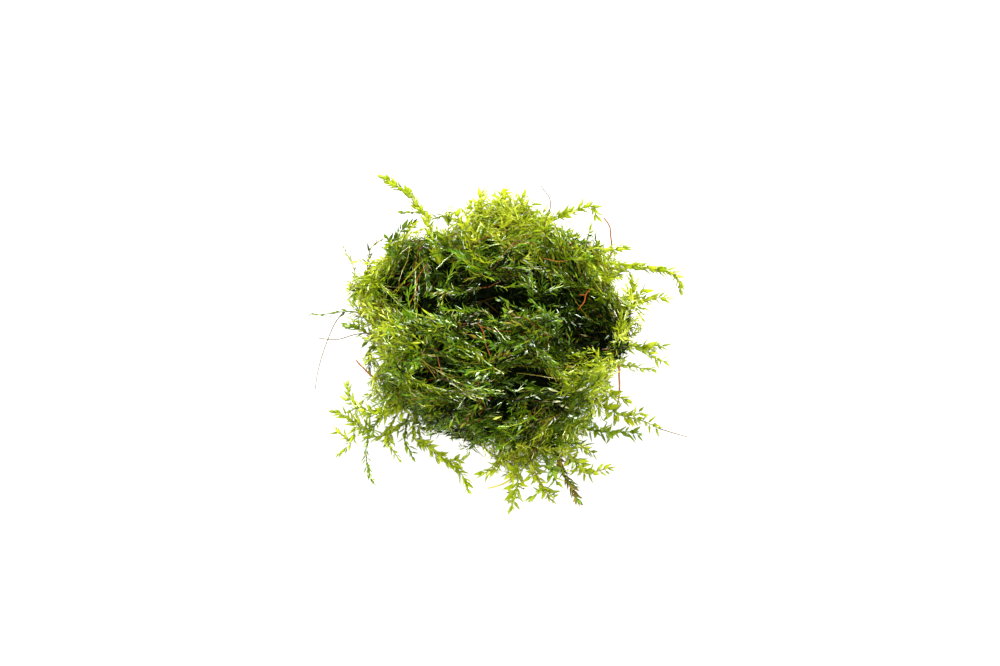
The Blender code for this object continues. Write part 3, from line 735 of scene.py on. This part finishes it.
# For the deep shoots: the share of the painted light that they take, the painted shade that the crease
# and the hollow give them, and the spread of their tones.
DEEP_PAINTED_LIGHT = 0.8
DEEP_SHADING = 0.12
DEEP_SPREAD = 0.03
OLIVE_SHARE, OLIVE_SPREAD = 0.03, 0.01
LEAF_GREEN_SHARE, LEAF_GREEN_SPREAD = 0.25, 0.015  # with the olive ones
LEAF_GREEN_BELOW = 0.5  # of full painted light
DARK_FROM = 0.3  # of full shade: a shoot further in is painted near black, as shade
SHADED = 0.17  # the tone of the shoots in the middle of the wad, away from its sides and top: painted shade
# By how high the tangle stands, on the tone scale: painted shade in its lows and painted light on its
# hills.
RELIEF_PAINTED_SHADE = 0.13
SHOOT_SPREAD = 0.06
BUNDLE_SPREAD = 0.07
THREAD_TONES = (OLIVE, OLIVE, BARK, BROWN, DARK, GREEN, FRESH)
DRY_STEMS = (BROWN, BARK, BARK)
DRY_STEM_SHARE = 0.3
STEM_DARKER = 0.1  # than its leaves, on the tone scale

# Which shoots are left out, so that the tangle has gaps.
DEEP_LEFT_OUT = 0.2  # of the deep shoots, anywhere
DEEP_LEFT_OUT_PAINTED_LIGHT = 0.5  # more where the painted light is
DEEP_LEFT_OUT_FOOT = 0.7  # instead, near the floor
DEEP_FOOT = 4 * MM
LIT_BELOW = 0.15  # of full shade: no shoot is turned away
FULLY_SHADED = 0.5
# Of the shoots that would cross the crease or the hollow, up to a place along X in millimetres: the
# share that is left out in half shade, and in full shade.
TURNED_AWAY = (
    (-6, 0.5, 0.8),  # left end of the crease
    (15, 0.6, 0.98),  # crease
    (math.inf, 0.4, 0.6),  # hollow
)
ENDS_LEFT_OUT_LOW = 0.7  # of shoot ends and wisps near the floor
OTHERS_LEFT_OUT_LOW = 0.4
GROWN_IN_LOWS = 0.22  # of the shoots over a gap of the tangle
# Bays in the wad's outline, where few shoots grow: each a place and how wide, in millimetres.
BAYS = (
    ((-6, -28, 2), 7),
    ((32, -5, 4), 5),
    ((-32, 2, 8), 5),
    ((-26, 23, 35), 8.5),
    ((-14, 25, 38), 5),
)


def combed(place):
    """The direction in which the wad's shoots lie at this place: round it, wavering."""
    swirl = UP.cross(place).normalized()
    level = Vector((1, 0, 0)) * (1 if swirl.x > 0 else -1)
    waver = noise.noise_vector(place / WAVER_SPACING)
    return (swirl * SWIRL + level * LEVEL + waver * WAVER).normalized()


def relief(place):
    """How high the tangle stands here, from about -1 to 1."""
    return sum(noise.noise(place / spacing) * share for spacing, share in RELIEF) * 2


def shade_at(place):
    """How far into the shade of the crease or the hollow this place lies, from 0 to 1."""
    if place.z < DENTED_ABOVE - CREASE_DEPTH / 2:
        return 0
    inside_rim = 1 - ease((place.x - RIM_FROM) / RIM_WIDTH)
    return min(max(dents(place - SHADE_SHIFT)) / CREASE_DEPTH, 1) * inside_rim


def crest_at(place):
    """How much higher the tangle stands here, because it is the crest in front of the crease."""
    if place.z < DENTED_ABOVE:
        return 0
    return CREST_HEIGHT * ease(2 - off_line(place.xy, CREST_ENDS) / CREST_HALF_WIDTH)


def under_skin(near, depth):
    """This depth under the skin, made less by the tangle's hills and in its dents."""
    return (depth - relief(near) * RELIEF_HEIGHT) * (1 - shade_at(near) * DENT_SHALLOWER)


def creep(skin, place, heading, own, depths, steps):
    """A route that follows the skin from this place, at depths that change from root to tip."""
    route = []
    for k in range(steps):
        near, normal, _, _ = skin.find_nearest(place)
        share = k / (steps - 1) * (len(depths) - 1)
        low = min(int(share), len(depths) - 2)
        depth = (depths[low] + (depths[low + 1] - depths[low]) * (share - low)) * MM
        place = near - normal * (under_skin(near, depth) - crest_at(near))
        place.z = max(place.z, LOWEST)
        route.append(place.copy())
        flow = combed(place)
        flow = flow if flow.dot(heading) > 0 else -flow
        heading = heading * KEEPS_ON + flow * FOLLOWS + own * STRAYS
        heading = (heading - normal * heading.dot(normal)).normalized()
        place = place + heading * STEP
    route = np.array(route)
    for _ in range(ROUTE_SMOOTHING):
        route[1:-1] = (route[:-2] + route[1:-1] * 2 + route[2:]) / 4
    return route


def painted_light_at(place):
    """How much painted light the moss takes here, from 0: it is painted pale towards the clump's sides
    and top.
    """
    x, y, z = (value / MM for value in place)
    return max(
        ease((x * way[0] + y * way[1] + z * way[2] - start) / over) * most
        for way, start, over, most in PAINTED_LIGHT_SIDES
    )


# Painted light and shade: a shoot's tone is darker in the middle of the wad, in the shade of the crease
# and the hollow, deep in the tangle, where its leaves are also older, and in its lows, and lighter
# towards its sides, top and foot.
def wad_tone(place, layer, shade, offset, rng):
    """The tone of a shoot of the wad, with its tip in this place and this far in the shade, 0 to 1."""
    painted_light = painted_light_at(place) * max(1 - shade * SHADE_DULLS, 0)
    if place.z > NEAR_FLOOR:
        painted_light *= PAINTED_LIGHT_ABOVE_FOOT
    if layer == "deep":
        tone = DEEP + (GREEN - DEEP) * painted_light * DEEP_PAINTED_LIGHT - shade * DEEP_SHADING
        tone += rng.normal(0, DEEP_SPREAD)
        return max(tone + FOOT_PAINTED_LIGHT * ease(1 - place.z / NEAR_FLOOR), BLACK)
    draw = rng.random()
    if layer == "thread":
        return rng.choice(THREAD_TONES)
    if draw < OLIVE_SHARE:
        return OLIVE + rng.normal(0, OLIVE_SPREAD)
    if shade > DARK_FROM:
        return BLACK + (DARK - BLACK) * rng.random() ** 2
    if draw < LEAF_GREEN_SHARE and painted_light < LEAF_GREEN_BELOW:
        return LEAF_GREEN + rng.normal(0, LEAF_GREEN_SPREAD)
    tone = SHADED + (BRIGHT - SHADED) * painted_light + offset + relief(place) * RELIEF_PAINTED_SHADE
    return min(max(tone + rng.normal(0, SHOOT_SPREAD), BLACK), PALE)


def part_of_wad(place):
    """The piece that a shoot in this place belongs to."""
    x, y, z = place
    if z < UNDER_BELOW:
        return "under"
    if z > TOP_ABOVE:
        return "top"
    if abs(y) > abs(x):
        return "back" if y > 0 else "front"
    return "right" if x > 0 else "left"


def turned_away(middle, shade):
    """The share of shoots that the crease or the hollow keeps off a route of this shade."""
    if shade < LIT_BELOW:
        return 0
    half, full = next(shares for end, *shares in TURNED_AWAY if middle.x < end * MM)
    return half if shade < FULLY_SHADED else full


def fits(route, layer, shade, rng):
    """Whether a shoot may take this route: few cross the crease, the hollow and the tangle's gaps."""
    middle = Vector(route[len(route) // 2])
    lowest = min(route[:, 2])
    if layer == "deep":
        more = DEEP_LEFT_OUT_FOOT if lowest < DEEP_FOOT else DEEP_LEFT_OUT_PAINTED_LIGHT
        return rng.random() > DEEP_LEFT_OUT + more * min(painted_light_at(middle), 1) * (1 - shade)
    rises = layer in ("end", "wisp")
    if rises and shade > FULLY_SHADED:
        return False
    if middle.x < RIM_FROM and rng.random() < turned_away(middle, shade):
        return False
    if any((Vector(route[-1]) - Vector(bay) * MM).length < wide * MM for bay, wide in BAYS):
        return False
    if lowest < NEAR_FLOOR and rng.random() < (ENDS_LEFT_OUT_LOW if rises else OTHERS_LEFT_OUT_LOW):
        return False
    return rng.random() < GROWN_IN_LOWS or relief(middle) > LOWS


def shade_along(route):
    """The shade of the most shaded point of a route."""
    return max(shade_at(Vector(point)) for point in route[1:])


def wad_shoots(skin_form, skin, rng):
    """The growth of each part of the wad."""
    grown = {name: Growth() for name in WAD_PARTS}
    corners = np.array([[loop.vert.co for loop in face.loops] for face in skin_form.faces])
    edges = corners[:, 1:] - corners[:, :1]
    areas = np.linalg.norm(np.cross(edges[:, 0], edges[:, 1]), axis=1)
    share = np.cumsum(areas) / areas.sum()
    for layer in LAYERS:
        for _ in range(layer.bundles):
            middle = Vector(corners[np.searchsorted(share, rng.random())].mean(0))
            heading = combed(middle) * (1 if rng.random() < 0.5 else -1)
            own = rng.normal(0, OWN_WAVER, 3)
            offset = rng.normal(0, BUNDLE_SPREAD)
            alone = layer.name == "thread"
            for _ in range(1 if alone else rng.integers(*BUNDLE_SHOOTS, endpoint=True)):
                place = middle + Vector(rng.uniform(-BUNDLE_WIDTH, BUNDLE_WIDTH, 3))
                length = rng.uniform(*layer.length)
                own_too = Vector(own + rng.normal(0, OWN_WAVER / 2, 3))
                route = creep(skin, place, heading, own_too, layer.depths, round(length / STEP) + 1)
                shade = shade_along(route)
                if fits(route, layer.name, shade, rng):
                    tip = Vector(route[-1])
                    dim = shade_at(tip) if tip.x > RIM_FROM else (shade_at(tip) + shade) / 2
                    tone = wad_tone(tip, layer.name, dim, offset, rng)
                    add_shoot(grown, route, layer, tone, rng)
    return grown


def add_shoot(grown, route, layer, tone, rng):
    """A shoot, with its leaves, in the growth of its part of the wad."""
    part = part_of_wad(route[len(route) // 2])
    stations = DEEP_LEAF_STATIONS if part == "under" else layer.stations
    add_leaves(grown[part], leaves_along(route, layer.style, tone, rng), stations)
    stem_tone = min(max(tone - STEM_DARKER, BLACK), FRESH)
    if layer.name == "thread":
        stem_tone = tone
    elif rng.random() < DRY_STEM_SHARE:
        stem_tone = rng.choice(DRY_STEMS)
    add_tube(grown[part], route[::2], layer.style.stem, layer.sides, stem_tone)


def add_mat(skin_form, skin):
    """The dense inside of the tangle, near black as painted shade, which shows only as the dark between
    the shoots.
    """
    bm = skin_form.copy()
    for vert in bm.verts:
        inward = -vert.normal
        through = skin.ray_cast(vert.co + inward * RAY_START * MM, inward)[3] or MAT_DEPTH
        depth = under_skin(vert.co, MAT_DEPTH)
        depth += noise.noise(vert.co / MAT_GRAIN_SPACING) * MAT_GRAIN_HEIGHT * MM
        at_rim = ease((vert.co.x - RIM_FROM) / RIM_WIDTH + 1)
        if vert.co.z > DENTED_ABOVE:
            vert.co.z -= RIM_LOWER * at_rim
        vert.co.x -= RIM_INWARD * at_rim
        vert.co += inward * min(max(depth, MAT_LEAST_DEPTH), through * MAT_SHARE)
        vert.co.z = max(vert.co.z, LOWEST)
    mesh = bpy.data.meshes.new("wad_inside_painted_shade")
    bm.to_mesh(mesh)
    bm.free()
    mesh.materials.append(painted_shade_mat_look())
    obj = placed("wad_inside_painted_shade", mesh)
    obj.modifiers.new("fewer", "DECIMATE").ratio = MAT_REDUCED_TO
    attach(obj, BODY)
    return obj


def add_wad(leaf, rng):
    """The wad's pieces. Returns its skin, as a tree to find places on."""
    skin_form = wad_skin()
    skin = BVHTree.FromBMesh(skin_form)
    pieces = [add_mat(skin_form, skin)]
    for name, growth in wad_shoots(skin_form, skin, rng).items():
        pieces.append(as_piece("wad_shoots_" + name, growth, leaf, "moss"))
    skin_form.free()
    for piece in pieces:
        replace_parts(piece, "moss_wad")
    return skin


def on_wad(skin, x, y, lift):
    """The place this far above the wad's skin, over this place of the floor plan, in millimetres."""
    met = skin.ray_cast(Vector((x, y, ABOVE_ALL)) * MM, -UP)[0]
    return met + UP * lift * MM


def add_over_stems(skin, look):
    """Bare reddish stems that lie on the wad's top, and one that hangs over the hollow."""
    growth = Growth()
    stems = [
        (radius * MM, [on_wad(skin, x, y, OVER_STEM_LIFT) for x, y in corners])
        for radius, *corners in OVER_STEMS
    ]
    stems += [(HOLLOW_STEM_RADIUS, np.array(corners) * MM) for corners in HOLLOW_STEM]
    for radius, points in stems:
        route = smooth_route(points, OVER_STEM_STEP)
        add_tube(growth, route, radius, OVER_STEM_SIDES, BROWN, OVER_STEM_TAPER)
    as_piece("wad_bare_stems", growth, look, "bare_stem")


def add_details(skin, leaf):
    """Single wide leaves and a round bud that stand out on the wad's top."""
    growth = Growth()
    places, headings, lengths, widths, tones = zip(*SINGLE_LEAVES)
    roots, ways = [], []
    for place, heading in zip(places, headings):
        root = on_wad(skin, *place, SINGLE_LEAF_LIFT)
        normal = skin.find_nearest(root)[1]
        turn = math.radians(heading)
        way = Vector((math.cos(turn), math.sin(turn), 0))
        roots.append(root + normal * SINGLE_LEAF_OFF * MM)
        ways.append((way - normal * way.dot(normal)).normalized() + normal * SINGLE_LEAF_RISE)
    ahead = unit(np.array(ways))
    side = unit(np.cross(ahead, NEARLY_UP))
    sizes = (np.array(lengths) * MM, np.array(widths) * MM, np.full(len(roots), SINGLE_LEAF_BEND))
    leaves = (np.array(roots), ahead, np.cross(side, ahead), *sizes, np.array(tones))
    add_leaves(growth, leaves, LEAF_STATIONS)
    add_bud(growth, on_wad(skin, *BUD_PLACE, BUD_LIFT))
    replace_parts(as_piece("wad_single_leaves", growth, leaf, "moss"), "moss_wad")


def add_bud(growth, place):
    """A round green bud."""
    bm = bmesh.new()
    bmesh.ops.create_icosphere(bm, subdivisions=BUD_SUBDIVISIONS, radius=BUD_RADIUS)
    points = np.array([vert.co for vert in bm.verts])
    faces = np.array([[vert.index for vert in face.verts] for face in bm.faces])
    bm.free()
    level = points[:, 2] / BUD_RADIUS * BUD_LEVELS[0] + BUD_LEVELS[1]
    tones = GREEN + points[:, 0] / BUD_RADIUS * TONE_HALF_WIDTH
    growth.add(points * (1, 1, BUD_TALLER) + np.array(place), faces, np.stack([tones, level], 1))


# ---------------- the stray strands

STARTS_BEFORE = 5 * MM  # how far a strand runs on into the wad, before its solid begins
STRAND_STEP = 0.5 * MM  # along a strand, from one worked-out point to the next
STRAND_SIDES, SIDE_SHOOT_SIDES, BARE_SIDES = 5, 4, 6  # of their stems
BARE_TAPER = 0.7
OLIVE_STEM_SHARE = 0.4
STRAND_DARKER = 0.08  # a strand's stem than its leaves, on the tone scale
# A strand's short side shoots.
SIDE_LENGTH = (2.2 * MM, 4.2 * MM)
SIDE_STEM = 0.6  # the stem's radius, of the strand's
SIDE_POINTS = 7
SIDES_UP_TO = 0.85  # of the strand
SIDE_TURN = math.radians(150)  # from one to the next, round the strand
SIDE_TURN_JITTER = 0.6  # radians
SIDE_JITTER = 0.3  # of their spacing
SIDE_OUT, SIDE_AHEAD = 0.8, 0.5  # how much each counts in the way one starts
SIDE_RISE = 0.15  # as one bends ahead and up


def free_route(name, points):
    """The strand's route from just inside the wad to its tip."""
    low, high = (np.array(corner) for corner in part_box(name))
    route = smooth_route(np.array(points) * MM, STRAND_STEP)
    outside = (route > low - STARTS_BEFORE).all(1) & (route < high + STARTS_BEFORE).all(1)
    return route[np.argmax(outside):]


def side_shoots(route, style, rng):
    """Routes of the short shoots that a strand bears on alternate sides."""
    length = gone_along(route)[-1]
    ahead, side, over = across(route)
    for k in range(1, int(length * SIDES_UP_TO / style.sides)):
        place = k + rng.uniform(-SIDE_JITTER, SIDE_JITTER)
        i = round(place * style.sides / length * len(route))
        angle = k * SIDE_TURN + rng.uniform(-SIDE_TURN_JITTER, SIDE_TURN_JITTER)
        out = side[i] * math.cos(angle) + over[i] * math.sin(angle)
        gone = np.linspace(0, rng.uniform(*SIDE_LENGTH), SIDE_POINTS)[:, None]
        start = out * SIDE_OUT + ahead[i] * SIDE_AHEAD
        bent = np.array(ahead[i] * SIDE_AHEAD + UP * SIDE_RISE)
        yield route[i] + start * gone + bent * gone**2 / SIDE_LENGTH[1]


def add_strands(leaf, stem, hair, rng):
    """Each stray strand, along its solid's route: a leafy shoot, a bare stem or a root hair."""
    for name, (style, tone, *points) in STRANDS.items():
        growth = Growth()
        route = free_route(name, points)
        if style.spacing:
            add_leaves(growth, leaves_along(route, style, tone, rng), LEAF_STATIONS)
            stem_tone = OLIVE if rng.random() < OLIVE_STEM_SHARE else tone - STRAND_DARKER
            add_tube(growth, route, style.stem, STRAND_SIDES, stem_tone)
            for branch in side_shoots(route, style, rng) if style.sides else ():
                add_leaves(growth, leaves_along(branch, style, tone, rng), LEAF_STATIONS)
                add_tube(growth, branch, style.stem * SIDE_STEM, SIDE_SHOOT_SIDES, tone - STRAND_DARKER)
            look, slot_name = leaf, "moss"
        else:
            add_tube(growth, route, style.stem, BARE_SIDES, tone, BARE_TAPER)
            look, slot_name = (hair, "root_hair") if style is HAIR else (stem, "bare_stem")
        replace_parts(as_piece(name + "_live", growth, look, slot_name), name)


# ---------------- camera, light and floor

CAMERA_ELEVATION = math.radians(50)
CAMERA_DISTANCE = 0.75
CAMERA_LENS = 100
SENSOR = 36
CLIP_START = 0.05
PICTURE_SIZE = (1000, 666)
ORIGIN_PIXEL = (492, 380)  # where the row's origin falls in the picture


def add_camera():
    """The camera, at the photo's angle and distance."""
    metres_a_pixel = CAMERA_DISTANCE * SENSOR / CAMERA_LENS / PICTURE_SIZE[0]
    right = Vector((1, 0, 0))
    up = Vector((0, math.sin(CAMERA_ELEVATION), math.cos(CAMERA_ELEVATION)))
    ahead = up.cross(right)
    target = right * (PICTURE_SIZE[0] / 2 - ORIGIN_PIXEL[0]) * metres_a_pixel
    target += up * (ORIGIN_PIXEL[1] - PICTURE_SIZE[1] / 2) * metres_a_pixel
    camera = bpy.data.cameras.new("camera")
    camera.lens = CAMERA_LENS
    camera.sensor_width = SENSOR
    camera.clip_start = CLIP_START
    obj = placed("camera", camera)
    obj.location = target - ahead * CAMERA_DISTANCE
    obj.rotation_euler = ahead.to_track_quat("-Z", "Y").to_euler()
    bpy.context.scene.camera = obj


# Each softbox's place, its width across, and how bright it is beside the horizon.
SOFTBOXES = {
    "softbox_behind": ((-0.12, 0.62, 0.80), 0.5, 52),
    "softbox_front": ((0.20, -0.65, 0.80), 0.5, 44),
    "softbox_left": ((-0.80, -0.10, 0.65), 0.5, 34),
    "softbox_right": ((0.80, 0.05, 0.65), 0.5, 34),
    "softbox_top": ((0.0, -0.05, 1.0), 0.45, 26),
}
HORIZON = 1.0
OVERHEAD = 0.12
WALLS_UP_TO, CEILING_FROM = 0.12, 0.34  # the sine of the height
FLOOR_RADIUS = 0.6
FLOOR_SIDES = 96
FLOOR_ROUGHNESS = 0.9
FLOOR_GLOW = 0.9  # the floor is lit from below, like a light table
FLOOR_ALBEDO = 0.12
WARM_WHITE = (1.0, 1.0, 0.94)


def add_softbox(name, place, size, brightness):
    """A round lamp that looks at the origin."""
    light = bpy.data.lights.new(name, "AREA")
    light.shape = "DISK"
    light.size = size
    light.energy = brightness * math.pi * math.pi * (size / 2) ** 2
    obj = placed(name, light)
    obj.location = place
    obj.rotation_euler = (-Vector(place)).to_track_quat("-Z", "Y").to_euler()


def add_world():
    """White walls all round, and a dark ceiling."""
    world = bpy.data.worlds.new("studio")
    bpy.context.scene.world = world
    world.use_nodes = True
    nodes, links = world.node_tree.nodes, world.node_tree.links
    way = nodes.new("ShaderNodeTexCoord")
    apart = nodes.new("ShaderNodeSeparateXYZ")
    links.new(way.outputs["Generated"], apart.inputs[0])
    height = ramp(nodes, ((WALLS_UP_TO, (HORIZON,) * 3), (CEILING_FROM, (OVERHEAD,) * 3)))
    links.new(apart.outputs["Z"], height.inputs["Fac"])
    links.new(height.outputs["Color"], nodes["Background"].inputs["Color"])


def add_floor():
    """A round pale floor."""
    bm = bmesh.new()
    bmesh.ops.create_circle(bm, cap_ends=True, segments=FLOOR_SIDES, radius=FLOOR_RADIUS)
    mesh = bpy.data.meshes.new("floor")
    bm.to_mesh(mesh)
    bm.free()
    inputs = {
        "Base Color": (FLOOR_ALBEDO, FLOOR_ALBEDO, FLOOR_ALBEDO, 1),
        "Roughness": FLOOR_ROUGHNESS,
        "Emission Color": (*WARM_WHITE, 1),
        "Emission Strength": FLOOR_GLOW,
    }
    mesh.materials.append(new_look("floor", inputs)[0])
    floor = placed("floor", mesh)


def add_studio():
    """The surroundings and the lamps, with a plain view transform."""
    add_world()
    for name, (place, size, brightness) in SOFTBOXES.items():
        add_softbox(name, place, size, brightness)
    add_floor()
    bpy.context.scene.view_settings.view_transform = "Standard"


def main():
    """The moss, what stands round it, and the camera."""
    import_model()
    noise.seed_set(NOISE_SEED)
    rng = np.random.default_rng(RANDOM_SEED)
    moss, dead_or_painted_shade, stem, hair = (leaf_look(name, *numbers) for name, numbers in LOOKS.items())
    leaf = (moss, dead_or_painted_shade)
    skin = add_wad(leaf, rng)
    add_over_stems(skin, (stem,))
    add_details(skin, leaf)
    add_strands(leaf, (stem,), (hair,), rng)
    add_studio()
    add_camera()


main()
